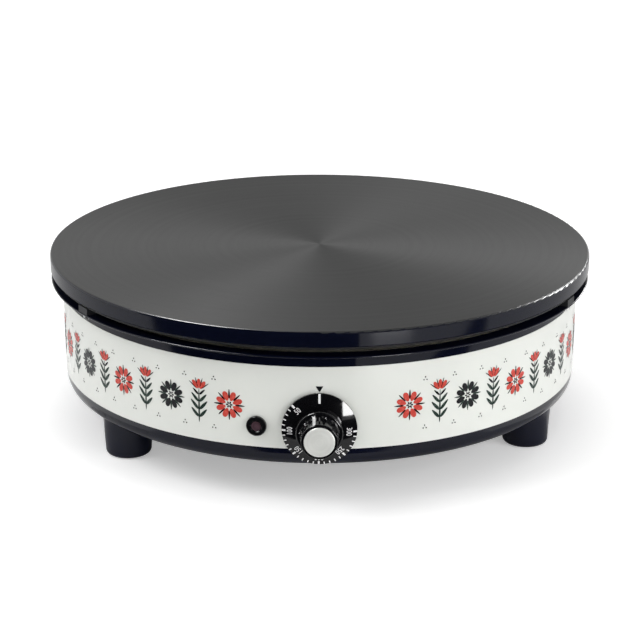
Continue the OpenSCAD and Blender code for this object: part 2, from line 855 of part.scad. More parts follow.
module lamp_lens() {
    color([0.3, 0.05, 0.06]) outward(lamp_turn, band_r + bezel_t - 1 - lens_l, z_lamp) difference() {
        cylinder(h = lens_l + 0.3, d = lens_d);
        translate([0, 0, -cut]) cylinder(h = lens_l - 1 + cut, d = lens_d - 2);
    }
}

module lamp_body() {
    front = band_r + bezel_t - 1 - lens_l;
    color("beige") outward(lamp_turn, front - lamp_tail_l, z_lamp) {
        cylinder(h = lamp_tail_l, d = lens_d);
        for (x = [-lamp_pin_x, lamp_pin_x]) translate([x, 0, -lamp_pin_l])
            cylinder(h = lamp_pin_l, d = 1);
    }
}

module lamp_nut() {
    face = sqrt(inner_r * inner_r - pow(lamp_nut_af / 2 / cos(30), 2)) - 0.1;
    color("silver") outward(lamp_turn, face - lamp_nut_t, z_lamp)
        nut(lamp_nut_af, lamp_nut_t, barrel_d + 2 * thread_gap);
}

// ---- Cord gland ----

module gland_bore(h) {
    translate([0, 0, -cut]) cylinder(h = h + 2 * cut, d = gland_bore_d);
}

module cord_gland() {
    back = band_r - gland_in;
    color([0.08, 0.08, 0.09]) outward(180, back, z_gland) difference() {
        union() {
            cylinder(h = gland_in + 0.1, d = gland_d);
            translate([0, 0, gland_in + gland_gap])
                cylinder(h = gland_flange_t, d = gland_af / cos(30), $fn = 6);
        }
        gland_bore(gland_in + gland_flange_t);
    }
}

module gland_cap() {
    back = band_r + gland_flange_t + gland_gap;
    color([0.08, 0.08, 0.09]) outward(180, back, z_gland) difference() {
        union() {
            rotate_extrude() round_step(gland_d / 2 + 1, gland_cap_h, 4);
            cylinder(h = gland_cap_hex, d = (gland_af - 1) / cos(30), $fn = 6);
        }
        gland_bore(gland_cap_h);
    }
}

module gland_nut() {
    face = sqrt(inner_r * inner_r - pow(gland_af / 2 / cos(30), 2)) - 0.1;
    color([0.08, 0.08, 0.09]) outward(180, face - gland_nut_t, z_gland)
        nut(gland_af, gland_nut_t, gland_d + 2 * thread_gap);
}

// ---- Terminal block, earth stud and cut-out ----

block_screw_xs = [ways[0] + 4.5, ways[3] - 4.5];

module terminal_block() {
    size = block_size;
    color([0.9, 0.9, 0.88]) around([block_turn], block_ring_r, z_floor) difference() {
        translate([-size[0] / 2, -size[1] / 2, 0]) cube(size);
        for (x = ways) translate([x, size[1] / 2 + cut, way_z]) rotate([90, 0, 0])
            cylinder(h = size[1] + 2 * cut, d = way_d);
        for (x = ways) for (y = [-5, 5]) translate([x, y, way_z])
            cylinder(h = size[2], d = 4);
        for (x = block_screw_xs) translate([x, 0, -cut])
            cylinder(h = size[2] + 2 * cut, d = block_screw_d + 2 * hole_gap);
    }
}

module terminal_screws() {
    color("goldenrod") around([block_turn], block_ring_r, z_floor + way_z + way_d / 2)
        for (x = ways) for (y = [-5, 5]) translate([x, y, 0]) cylinder(h = 5, d = 3.8);
}

module block_screws() {
    color("silver") around([block_turn], block_ring_r, z_floor + block_size[2])
        for (x = block_screw_xs) translate([x, 0, 0]) {
            cylinder(h = 1.8, d = 5.4);
            translate([0, 0, -block_size[2] - sheet_t - 2])
                cylinder(h = block_size[2] + sheet_t + 2, d = block_screw_d);
        }
}

module earth_stud() {
    color("silver") around([earth_turn], block_ring_r, z_pan)
        screw_up(earth_d, earth_l, 7.5, 2.2);
}

module earth_nut() {
    color("silver") around([earth_turn], block_ring_r, z_floor)
        nut(earth_nut_af, earth_nut_h, earth_d + 2 * thread_gap);
}

module thermal_cutout() {
    color([0.15, 0.15, 0.16]) translate([cutout_spot[0], cutout_spot[1], z_tray - cutout_ear[2]]) {
        difference() {
            translate([-cutout_ear[0] / 2, -cutout_ear[1] / 2, 0]) cube(cutout_ear);
            for (x = [-1, 1]) translate([x * cutout_screw_x, 0, -cut])
                cylinder(h = cutout_ear[2] + 2 * cut, d = cutout_screw_d + 2 * hole_gap);
        }
        translate([0, 0, -cutout_h]) cylinder(h = cutout_h, d = cutout_d);
        for (x = [-cutout_pin_x, cutout_pin_x])
            translate([x - 0.4, -3, -cutout_h - cutout_pin_h]) cube([0.8, 6, cutout_pin_h + 0.1]);
    }
}

module cutout_screws() {
    color("silver") for (x = [-1, 1])
        translate([cutout_spot[0] + x * cutout_screw_x, cutout_spot[1], z_tray - cutout_ear[2]])
            screw_up(cutout_screw_d, cutout_screw_l, 5.4, 1.8);
}

// ---- Wires, from terminal to terminal ----

z_way = z_floor + way_z;
way_r = block_ring_r - block_size[1] / 2;
blade_end = thermostat_size[1] + blade_size[1] - thermostat_y + 0.2;
blade_mid = blade_z + blade_size[2] / 2;
z_cutout_end = z_tray - cutout_ear[2] - cutout_h - cutout_pin_h - wire_gap;
z_wire = blade_mid;
z_low_wire = z_floor + 11;
lamp_back = band_r + bezel_t - 1 - lens_l - lamp_tail_l - lamp_pin_l - wire_gap;

module live_wires() {
    color("saddlebrown") {
        wire([spot(block_turn, way_r, ways[1], z_way),
            spot(block_turn, way_r - wire_run, ways[1], z_way + 3),
            [element_in_r / 2, 50, z_wire], [element_in_r / 4, 0, z_wire],
            [blade_x[1], blade_end + 50, blade_mid],
            [blade_x[1], blade_end + wire_run, blade_mid], [blade_x[1], blade_end, blade_mid]]);
        wire([[blade_x[2], blade_end, blade_mid], [blade_x[2], blade_end + wire_run, blade_mid],
            [cutout_spot[0] / 2, cutout_spot[1] - 2 * wire_run, z_wire],
            [cutout_spot[0] - cutout_pin_x, cutout_spot[1] - wire_drop, z_cutout_end - wire_drop],
            [cutout_spot[0] - cutout_pin_x, cutout_spot[1], z_cutout_end - wire_drop],
            [cutout_spot[0] - cutout_pin_x, cutout_spot[1], z_cutout_end]]);
        wire([[cutout_spot[0] + cutout_pin_x, cutout_spot[1], z_cutout_end],
            [cutout_spot[0] + cutout_pin_x, cutout_spot[1], z_cutout_end - wire_drop],
            [cutout_spot[0] + wire_run, cutout_spot[1] + wire_drop, z_wire],
            [element_out_r - wire_run, -element_bend - wire_run, z_wire],
            [element_out_r, -element_bend, z_pin - wire_drop],
            [element_out_r, -element_bend, z_pin - wire_gap]]);
        wire([spot(lamp_turn, lamp_back, lamp_pin_x, z_lamp),
            spot(lamp_turn, lamp_back - wire_drop, lamp_pin_x, z_lamp),
            spot(lamp_turn, lamp_back - wire_run - lamp_pin_x, 2 * lamp_pin_x, blade_mid),
            [blade_x[0], blade_end + wire_run, blade_mid], [blade_x[0], blade_end, blade_mid]]);
    }
}

module neutral_wires() {
    color("royalblue") {
        wire([spot(block_turn, way_r, ways[0], z_way),
            spot(block_turn, way_r - wire_run, ways[0], z_way + 3),
            [element_in_r, 3 * wire_run, z_wire],
            [element_in_r, element_bend, z_pin - wire_drop],
            [element_in_r, element_bend, z_pin - wire_gap]]);
        wire([spot(block_turn, way_r, ways[2], z_way),
            spot(block_turn, way_r - wire_run, ways[2], z_way + 3),
            [element_in_r / 4, 60, z_low_wire], [-30, -20, z_low_wire],
            [-48, blade_end + 2 * wire_run, z_low_wire],
            spot(lamp_turn, lamp_back - 2 * wire_run, -wire_drop, z_lamp),
            spot(lamp_turn, lamp_back - wire_drop, -lamp_pin_x, z_lamp),
            spot(lamp_turn, lamp_back, -lamp_pin_x, z_lamp)]);
    }
}

module earth_wire() {
    z_end = z_floor + earth_nut_h + wire_d / 2 + wire_gap;
    color("yellowgreen") wire([spot(block_turn, way_r, ways[3], z_way),
        spot(block_turn, way_r - wire_drop, ways[3], z_way),
        spot(earth_turn, way_r - wire_drop, -wire_drop, z_way + 2),
        spot(earth_turn, block_ring_r - 12, 0, z_end),
        spot(earth_turn, block_ring_r - earth_d / 2 - wire_gap, 0, z_end)]);
}

griddle_plate();
plate_spacers();
plate_studs();
plate_nuts();
centre_stud();
centre_nuts();
centre_washers();
heating_element();
element_bushes();
element_pins();
clamp_plate();
insulation_blanket();
insulation_tray();
sensing_bulb();
bulb_holder();
capillary_tube();
casing();
decor_band();
base_cover();
base_screws();
feet();
foot_screws();
foot_nuts();
thermostat_bracket();
bracket_screws();
bracket_nuts();
thermostat_body();
thermostat_blades();
thermostat_screws();
thermostat_spindle();
knob();
knob_cap();
spindle_clip();
lamp_bezel();
lamp_lens();
lamp_body();
lamp_nut();
cord_gland();
gland_cap();
gland_nut();
terminal_block();
terminal_screws();
block_screws();
earth_stud();
earth_nut();
thermal_cutout();
cutout_screws();
live_wires();
neutral_wires();
earth_wire();
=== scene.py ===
import math

import bpy
from mathutils import Matrix, Vector


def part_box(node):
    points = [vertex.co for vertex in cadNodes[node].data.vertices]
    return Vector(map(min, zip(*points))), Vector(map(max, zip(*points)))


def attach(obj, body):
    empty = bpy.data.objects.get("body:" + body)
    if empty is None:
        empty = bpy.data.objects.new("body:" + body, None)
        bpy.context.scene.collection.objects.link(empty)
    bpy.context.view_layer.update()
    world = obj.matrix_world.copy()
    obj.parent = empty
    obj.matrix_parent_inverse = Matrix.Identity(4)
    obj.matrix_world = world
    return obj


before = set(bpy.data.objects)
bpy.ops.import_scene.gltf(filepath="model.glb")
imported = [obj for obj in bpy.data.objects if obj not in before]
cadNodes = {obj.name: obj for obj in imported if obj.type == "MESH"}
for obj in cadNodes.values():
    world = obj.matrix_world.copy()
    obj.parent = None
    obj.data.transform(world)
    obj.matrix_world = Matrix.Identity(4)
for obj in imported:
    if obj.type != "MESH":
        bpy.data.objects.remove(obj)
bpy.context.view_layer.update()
scene = bpy.context.scene
scene.view_settings.view_transform = "Standard"
mm = 0.001
print("frame: loaded", len(cadNodes), "nodes")

knobLow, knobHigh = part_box("knob")
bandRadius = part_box("decor_band")[1].x
dialHeight = (knobLow.z + knobHigh.z) / 2
dialBack = knobHigh.y
lensMiddle = sum(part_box("lamp_lens"), Vector()) / 2


cameraLook = {
    "place": (0.0, -1.5174, 0.5897),
    "tiltDown": 18.967,  # degrees below level
    "roll": 0.1,
    "lens": 119.4,
    "sensor": 36.0,
    "shiftX": 0.0006,
    "clipEnd": 40,
}


def placeCamera(look):
    lensData = bpy.data.cameras.new("photoCamera")
    lensData.lens = look["lens"]
    lensData.sensor_width = look["sensor"]
    lensData.sensor_fit = "HORIZONTAL"
    lensData.shift_x = look["shiftX"]
    lensData.clip_end = look["clipEnd"]
    camera = bpy.data.objects.new("photoCamera", lensData)
    camera.location = look["place"]
    tilt = Matrix.Rotation(math.radians(90 - look["tiltDown"]), 3, "X")
    roll = Matrix.Rotation(math.radians(look["roll"]), 3, "Z")
    camera.rotation_euler = (tilt @ roll).to_euler()
    scene.collection.objects.link(camera)
    scene.camera = camera


placeCamera(cameraLook)
print("camera: placed")


def addNode(tree, kind, inputs=None, **settings):
    node = tree.nodes.new(kind)
    for key, value in settings.items():
        setattr(node, key, value)
    for key, value in (inputs or {}).items():
        if isinstance(value, bpy.types.NodeSocket):
            tree.links.new(value, node.inputs[key])
        else:
            node.inputs[key].default_value = value
    return node


def calc(tree, operation, *values):
    node = addNode(tree, "ShaderNodeMath", dict(enumerate(values)), operation=operation)
    return node.outputs[0]


def spread(tree, value, low, high, newLow, newHigh):
    node = addNode(tree, "ShaderNodeMapRange", {
        "Value": value, "From Min": low, "From Max": high, "To Min": newLow, "To Max": newHigh})
    return node.outputs["Result"]


def blendColours(tree, factor, first, second):
    node = addNode(tree, "ShaderNodeMix", {0: factor, 6: first, 7: second}, data_type="RGBA")
    return node.outputs[2]


def newGroup(name, kind, wanted, given):
    tree = bpy.data.node_groups.new(name, kind)
    for label, socketKind, value in wanted:
        socket = tree.interface.new_socket(label, in_out="INPUT", socket_type=socketKind)
        if value is not None:
            socket.default_value = value
    for label, socketKind in given:
        tree.interface.new_socket(label, in_out="OUTPUT", socket_type=socketKind)
    return tree, addNode(tree, "NodeGroupInput"), addNode(tree, "NodeGroupOutput")


noiseLow, noiseHigh = 0.3, 0.7  # most values of a noise lie between these
grainLook = {"detail": 2.0, "patchDetail": 4.0, "patchRough": 0.6}


def makeGrainGroup(look):
    # soft uneven tone and a fine raised grain
    tree, source, result = newGroup("unevenGrain", "ShaderNodeTree", [
        ("Vector", "NodeSocketVector", None), ("Grain Size", "NodeSocketFloat", 0.001),
        ("Patch Size", "NodeSocketFloat", 0.03)],
        [("Grain", "NodeSocketFloat"), ("Patches", "NodeSocketFloat")])
    grainScale = calc(tree, "DIVIDE", 1.0, source.outputs["Grain Size"])
    patchScale = calc(tree, "DIVIDE", 1.0, source.outputs["Patch Size"])
    grain = addNode(tree, "ShaderNodeTexNoise", {
        "Vector": source.outputs["Vector"], "Scale": grainScale, "Detail": look["detail"]})
    patches = addNode(tree, "ShaderNodeTexNoise", {
        "Vector": source.outputs["Vector"], "Scale": patchScale, "Detail": look["patchDetail"],
        "Roughness": look["patchRough"]})
    tree.links.new(grain.outputs["Fac"], result.inputs["Grain"])
    tree.links.new(spread(tree, patches.outputs["Fac"], noiseLow, noiseHigh, 0.0, 1.0),
                   result.inputs["Patches"])
    return tree


turnedLook = {"detail": 2.0, "broadScale": 0.11, "broadDetail": 3.0}


def makeTurnedGroup(look):
    # rings left by a lathe tool round the Z axis of the vector that comes in
    tree, source, result = newGroup("turnedRings", "ShaderNodeTree", [
        ("Vector", "NodeSocketVector", None), ("Pitch", "NodeSocketFloat", 0.0006)],
        [("Rings", "NodeSocketFloat"), ("Broad Rings", "NodeSocketFloat"),
         ("Radius", "NodeSocketFloat")])
    at = addNode(tree, "ShaderNodeSeparateXYZ", {"Vector": source.outputs["Vector"]}).outputs
    radius = calc(tree, "SQRT", calc(
        tree, "ADD", calc(tree, "MULTIPLY", at["X"], at["X"]),
        calc(tree, "MULTIPLY", at["Y"], at["Y"])))
    turns = calc(tree, "DIVIDE", radius, source.outputs["Pitch"])
    fine = addNode(tree, "ShaderNodeTexNoise", {
        "W": turns, "Scale": 1.0, "Detail": look["detail"]}, noise_dimensions="1D")
    broad = addNode(tree, "ShaderNodeTexNoise", {
        "W": turns, "Scale": look["broadScale"], "Detail": look["broadDetail"]},
        noise_dimensions="1D")
    tree.links.new(fine.outputs["Fac"], result.inputs["Rings"])
    tree.links.new(spread(tree, broad.outputs["Fac"], noiseLow, noiseHigh, 0.0, 1.0),
                   result.inputs["Broad Rings"])
    tree.links.new(radius, result.inputs["Radius"])
    return tree


scuffLook = {"detail": 1.0, "bend": 0.02, "width": 0.012, "gate": (0.52, 0.6)}


def makeScratchGroup(look):
    # sparse fine scuffs that run in every direction
    tree, source, result = newGroup("fineScuffs", "ShaderNodeTree", [
        ("Vector", "NodeSocketVector", None), ("Size", "NodeSocketFloat", 0.02)],
        [("Scuffs", "NodeSocketFloat")])
    scale = calc(tree, "DIVIDE", 1.0, source.outputs["Size"])
    bend = addNode(tree, "ShaderNodeTexNoise", {
        "Vector": source.outputs["Vector"], "Scale": scale, "Detail": look["detail"]})
    swirled = addNode(tree, "ShaderNodeVectorMath", {
        0: source.outputs["Vector"],
        1: addNode(tree, "ShaderNodeVectorMath", {
            0: bend.outputs["Color"], "Scale": look["bend"]}, operation="SCALE").outputs[0]},
        operation="ADD").outputs[0]
    lines = addNode(tree, "ShaderNodeTexVoronoi", {"Vector": swirled, "Scale": scale},
                    feature="DISTANCE_TO_EDGE")
    thin = spread(tree, lines.outputs["Distance"], 0.0, look["width"], 1.0, 0.0)
    gate = spread(tree, bend.outputs["Fac"], *look["gate"], 0.0, 1.0)
    tree.links.new(calc(tree, "MULTIPLY", thin, gate), result.inputs["Scuffs"])
    return tree


grainGroup = makeGrainGroup(grainLook)
turnedGroup = makeTurnedGroup(turnedLook)
scratchGroup = makeScratchGroup(scuffLook)
print("effects: three shared groups")


def newMaterial(name):
    material = bpy.data.materials.new(name)
    material.use_nodes = True
    tree = material.node_tree
    where = addNode(tree, "ShaderNodeTexCoord").outputs["Object"]
    return material, tree, tree.nodes["Principled BSDF"], where


def raiseSurface(tree, height, distance, under=None):
    inputs = {"Height": height, "Distance": distance, "Strength": 1.0}
    if under is not None:
        inputs["Normal"] = under
    return addNode(tree, "ShaderNodeBump", inputs).outputs["Normal"]


def feedShader(tree, shader, colour, rough, normal):
    tree.links.new(colour, shader.inputs["Base Color"])
    tree.links.new(rough, shader.inputs["Roughness"])
    tree.links.new(normal, shader.inputs["Normal"])


# a look may give these, each the same all over the surface
shaderSockets = {
    "metallic": "Metallic", "specular": "Specular IOR Level", "sheen": "Sheen Weight",
    "coat": "Coat Weight", "coatRough": "Coat Roughness",
    "anisotropic": "Anisotropic", "turn": "Anisotropic Rotation",
}


def setShader(shader, look):
    for key, socket in shaderSockets.items():
        if key in look:
            shader.inputs[socket].default_value = look[key]


def makeFinish(name, look):
    material, tree, shader, where = newMaterial(name)
    grain = addNode(tree, "ShaderNodeGroup", {
        "Vector": where, "Grain Size": look["grain"], "Patch Size": look["patch"]},
        node_tree=grainGroup)
    colour = blendColours(tree, grain.outputs["Patches"], (*look["colour"], 1),
                          (*look["second"], 1))
    rough = spread(tree, grain.outputs["Patches"], 0, 1, *look["rough"])
    raised = raiseSurface(tree, grain.outputs["Grain"], look["relief"])
    feedShader(tree, shader, colour, rough, raised)
    setShader(shader, look)
    return material


plateLook = {
    "colour": (0.0183, 0.0190, 0.0183), "second": (0.0235, 0.0244, 0.0235),
    "rough": (0.39, 0.46), "pitch": 0.55 * mm, "relief": 0.003 * mm,
    "rim": (199.1 * mm, 199.7 * mm),  # the ground face ends and the smooth edge begins
    # the edge's darker navy colour is painted shade; its lower roughness is a smoother finish
    "rimShadeColour": (0.0022, 0.0032, 0.0105), "rimRough": 0.11,
    "grain": 0.5 * mm, "patch": 60 * mm, "grainRelief": 0.003 * mm, "scuffSize": 22 * mm,
    "ringShare": 0.5, "patchShare": 0.5, "scuffShare": 0.25,  # of the change from colour to second
    "anisotropic": 0.6, "turn": 0.25, "specular": 0.5,
}


def makePlateIron(name, look):
    material, tree, shader, where = newMaterial(name)
    rings = addNode(tree, "ShaderNodeGroup", {"Vector": where, "Pitch": look["pitch"]},
                    node_tree=turnedGroup)
    grain = addNode(tree, "ShaderNodeGroup", {
        "Vector": where, "Grain Size": look["grain"], "Patch Size": look["patch"]},
        node_tree=grainGroup)
    scuffs = addNode(tree, "ShaderNodeGroup", {"Vector": where, "Size": look["scuffSize"]},
                     node_tree=scratchGroup)
    tone = calc(tree, "MULTIPLY_ADD", rings.outputs["Broad Rings"], look["ringShare"],
                calc(tree, "MULTIPLY", grain.outputs["Patches"], look["patchShare"]))
    tone = calc(tree, "ADD", tone,
                calc(tree, "MULTIPLY", scuffs.outputs["Scuffs"], look["scuffShare"]))
    colour = blendColours(tree, tone, (*look["colour"], 1), (*look["second"], 1))
    rough = spread(tree, tone, 0, 1, *look["rough"])
    rim = spread(tree, rings.outputs["Radius"], *look["rim"], 0, 1)
    # painted shade: the edge is coloured darker than the top face
    colour = blendColours(tree, rim, colour, (*look["rimShadeColour"], 1))
    rough = spread(tree, rim, 0, 1, rough, look["rimRough"])
    bumped = raiseSurface(tree, rings.outputs["Rings"], look["relief"])
    bumped = raiseSurface(tree, grain.outputs["Grain"], look["grainRelief"], under=bumped)
    tangent = addNode(tree, "ShaderNodeTangent", direction_type="RADIAL", axis="Z")
    feedShader(tree, shader, colour, rough, bumped)
    tree.links.new(tangent.outputs["Tangent"], shader.inputs["Tangent"])
    setShader(shader, look)
    return material


enamelLook = {"colour": (0.0020, 0.0028, 0.0098), "second": (0.0030, 0.0042, 0.0132),
              "rough": (0.07, 0.11), "grain": 1.6 * mm, "patch": 50 * mm,
              "relief": 0.004 * mm, "specular": 0.39}
bandLook = {"colour": (0.80, 0.82, 0.775), "second": (0.83, 0.845, 0.80),
            "rough": (0.16, 0.24), "grain": 1.4 * mm, "patch": 45 * mm,
            "relief": 0.003 * mm, "coat": 0.2, "coatRough": 0.08}
knobLook = {"colour": (0.0030, 0.0030, 0.0038), "second": (0.0045, 0.0045, 0.0055),
            "rough": (0.05, 0.08), "grain": 0.35 * mm, "patch": 12 * mm,
            "relief": 0.0006 * mm, "specular": 0.64}
footLook = {"colour": (0.0024, 0.0034, 0.0130), "second": (0.0036, 0.0050, 0.0165),
            "rough": (0.12, 0.18), "grain": 0.5 * mm, "patch": 18 * mm,
            "relief": 0.002 * mm, "specular": 0.5}
bezelLook = {"colour": (0.0035, 0.0035, 0.0042), "second": (0.0055, 0.0055, 0.0062),
             "rough": (0.08, 0.14), "grain": 0.3 * mm, "patch": 6 * mm,
             "relief": 0.001 * mm, "specular": 0.5}

plainLooks = {
    "dark_enamel": enamelLook,
    "white_enamel": bandLook,
    "knob_plastic": knobLook,
    "foot_plastic": footLook,
    "bezel_plastic": bezelLook,
    "dark_steel": {"colour": (0.022, 0.023, 0.026), "second": (0.038, 0.039, 0.043),
                   "rough": (0.34, 0.5), "grain": 0.6 * mm, "patch": 14 * mm,
                   "relief": 0.006 * mm, "metallic": 0.5},
    "zinc_steel": {"colour": (0.52, 0.53, 0.54), "second": (0.66, 0.66, 0.64),
                   "rough": (0.24, 0.4), "grain": 0.3 * mm, "patch": 3 * mm,
                   "relief": 0.003 * mm, "metallic": 1.0},
    "element_steel": {"colour": (0.22, 0.20, 0.19), "second": (0.34, 0.30, 0.26),
                      "rough": (0.42, 0.6), "grain": 0.4 * mm, "patch": 20 * mm,
                      "relief": 0.004 * mm, "metallic": 0.9},
    "bright_sheet": {"colour": (0.62, 0.63, 0.64), "second": (0.74, 0.74, 0.73),
                     "rough": (0.22, 0.36), "grain": 0.8 * mm, "patch": 9 * mm,
                     "relief": 0.003 * mm, "metallic": 1.0},
    "mineral_wool": {"colour": (0.60, 0.55, 0.42), "second": (0.72, 0.67, 0.55),
                     "rough": (0.85, 0.98), "grain": 0.9 * mm, "patch": 8 * mm,
                     "relief": 0.5 * mm, "sheen": 0.2},
    "copper": {"colour": (0.72, 0.36, 0.22), "second": (0.60, 0.27, 0.16),
               "rough": (0.24, 0.4), "grain": 0.4 * mm, "patch": 10 * mm,
               "relief": 0.002 * mm, "metallic": 1.0},
    "brass": {"colour": (0.76, 0.58, 0.28), "second": (0.66, 0.48, 0.20),
              "rough": (0.2, 0.34), "grain": 0.3 * mm, "patch": 4 * mm,
              "relief": 0.002 * mm, "metallic": 1.0},
    "cream_ceramic": {"colour": (0.74, 0.69, 0.58), "second": (0.80, 0.76, 0.66),
                      "rough": (0.35, 0.5), "grain": 0.4 * mm, "patch": 8 * mm,
                      "relief": 0.008 * mm},
    "gland_plastic": {"colour": (0.014, 0.014, 0.015), "second": (0.020, 0.020, 0.021),
                      "rough": (0.38, 0.5), "grain": 0.35 * mm, "patch": 8 * mm,
                      "relief": 0.008 * mm},
    "block_plastic": {"colour": (0.62, 0.61, 0.57), "second": (0.68, 0.67, 0.63),
                      "rough": (0.4, 0.52), "grain": 0.35 * mm, "patch": 8 * mm,
                      "relief": 0.006 * mm},
    "brown_wire": {"colour": (0.15, 0.06, 0.025), "second": (0.19, 0.08, 0.035),
                   "rough": (0.36, 0.5), "grain": 0.5 * mm, "patch": 14 * mm,
                   "relief": 0.006 * mm},
    "blue_wire": {"colour": (0.03, 0.10, 0.32), "second": (0.045, 0.13, 0.38),
                  "rough": (0.36, 0.5), "grain": 0.5 * mm, "patch": 14 * mm,
                  "relief": 0.006 * mm},
}


capLook = {"colour": (0.82, 0.83, 0.79), "second": (0.88, 0.89, 0.85),
           "rough": (0.36, 0.44), "pitch": 0.16 * mm, "relief": 0.0012 * mm,
           "metallic": 0.34, "anisotropic": 0.35, "turn": 0.25}


def makeTurnedFace(name, look, centreX, centreZ):
    material, tree, shader, where = newMaterial(name)
    turned = addNode(tree, "ShaderNodeMapping", {
        "Vector": where, "Location": (-centreX, centreZ, 0),
        "Rotation": (math.radians(90), 0, 0)}, vector_type="POINT")
    rings = addNode(tree, "ShaderNodeGroup", {
        "Vector": turned.outputs["Vector"], "Pitch": look["pitch"]}, node_tree=turnedGroup)
    colour = blendColours(tree, rings.outputs["Broad Rings"], (*look["colour"], 1),
                          (*look["second"], 1))
    rough = spread(tree, rings.outputs["Rings"], noiseLow, noiseHigh, *look["rough"])
    # the tangent runs round the face's own axis
    at = addNode(tree, "ShaderNodeSeparateXYZ", {"Vector": where}).outputs
    tangent = addNode(tree, "ShaderNodeCombineXYZ", {
        "X": calc(tree, "SUBTRACT", centreZ, at["Z"]), "Y": 0.0,
        "Z": calc(tree, "SUBTRACT", at["X"], centreX)})
    raised = raiseSurface(tree, rings.outputs["Rings"], look["relief"])
    feedShader(tree, shader, colour, rough, raised)
    tree.links.new(tangent.outputs["Vector"], shader.inputs["Tangent"])
    setShader(shader, look)
    return material


lensLook = {"colour": (0.021, 0.011, 0.015), "second": (0.102, 0.056, 0.070),
            "rough": (0.10, 0.20), "pitch": 0.24 * mm, "relief": 0.010 * mm,
            "coat": 0.5, "coatRough": 0.04}
stripeLook = {"green": (0.04, 0.20, 0.045), "yellow": (0.62, 0.50, 0.03),
              "closeness": 700.0, "wobble": 0.4, "edge": (0.45, 0.55), "rough": (0.38, 0.46)}


def makeEarthWire(name, look):
    material, tree, shader, where = newMaterial(name)
    waves = addNode(tree, "ShaderNodeTexWave", {
        "Vector": where, "Scale": look["closeness"], "Distortion": look["wobble"]},
        bands_direction="DIAGONAL")
    stripe = spread(tree, waves.outputs["Fac"], *look["edge"], 0, 1)
    tree.links.new(blendColours(tree, stripe, (*look["green"], 1), (*look["yellow"], 1)),
                   shader.inputs["Base Color"])
    tree.links.new(spread(tree, stripe, 0, 1, *look["rough"]), shader.inputs["Roughness"])
    return material


finishes = {slot: makeFinish(slot, look) for slot, look in plainLooks.items()}
finishes["plate_iron"] = makePlateIron("plate_iron", plateLook)
finishes["turned_aluminium"] = makeTurnedFace("turned_aluminium", capLook, 0, dialHeight)
finishes["red_lens"] = makeTurnedFace("red_lens", lensLook, lensMiddle.x, lensMiddle.z)
finishes["green_wire"] = makeEarthWire("green_wire", stripeLook)


def dressNodes():
    dressed = 0
    for name, piece in cadNodes.items():
        wanted = piece.data.materials[0].name.split(".")[0] if piece.data.materials else ""
        if wanted not in finishes:
            print("no finish for", name, wanted)
            continue
        for place in piece.material_slots:
            place.material = finishes[wanted]
        dressed += 1
    print("finishes:", dressed, "nodes dressed")


dressNodes()


def inkLook(colour, second):
    return {"colour": colour, "second": second, "rough": (0.2, 0.32), "grain": 0.4 * mm,
            "patch": 3 * mm, "relief": 0.002 * mm, "specular": 0.3}


inks = {
    "red": makeFinish("redInk", inkLook((0.56, 0.052, 0.040), (0.66, 0.085, 0.060))),
    "green": makeFinish("greenInk", inkLook((0.014, 0.030, 0.023), (0.034, 0.056, 0.045))),
    "black": makeFinish("blackInk", inkLook((0.003, 0.0035, 0.005), (0.008, 0.009, 0.012))),
    "white": makeFinish("whiteInk", inkLook((0.86, 0.86, 0.86), (0.92, 0.92, 0.92))),
}


mergeGap = 0.001 * mm  # points nearer than this become one


def makeClosedSheet():
    # gives flat faces a small thickness and a back
    tree, source, result = newGroup("closedSheet", "GeometryNodeTree", [
        ("Geometry", "NodeSocketGeometry", None), ("Thickness", "NodeSocketFloat", 0.0001)],
        [("Geometry", "NodeSocketGeometry")])
    flat = source.outputs["Geometry"]
    raised = addNode(tree, "GeometryNodeExtrudeMesh", {
        "Mesh": flat, "Offset Scale": source.outputs["Thickness"], "Individual": False})
    back = addNode(tree, "GeometryNodeFlipFaces", {"Mesh": flat})
    both = addNode(tree, "GeometryNodeJoinGeometry")
    tree.links.new(raised.outputs["Mesh"], both.inputs[0])
    tree.links.new(back.outputs[0], both.inputs[0])
    merged = addNode(tree, "GeometryNodeMergeByDistance", {
        "Geometry": both.outputs[0], "Distance": mergeGap})
    tree.links.new(merged.outputs[0], result.inputs["Geometry"])
    return tree


closedSheet = makeClosedSheet()


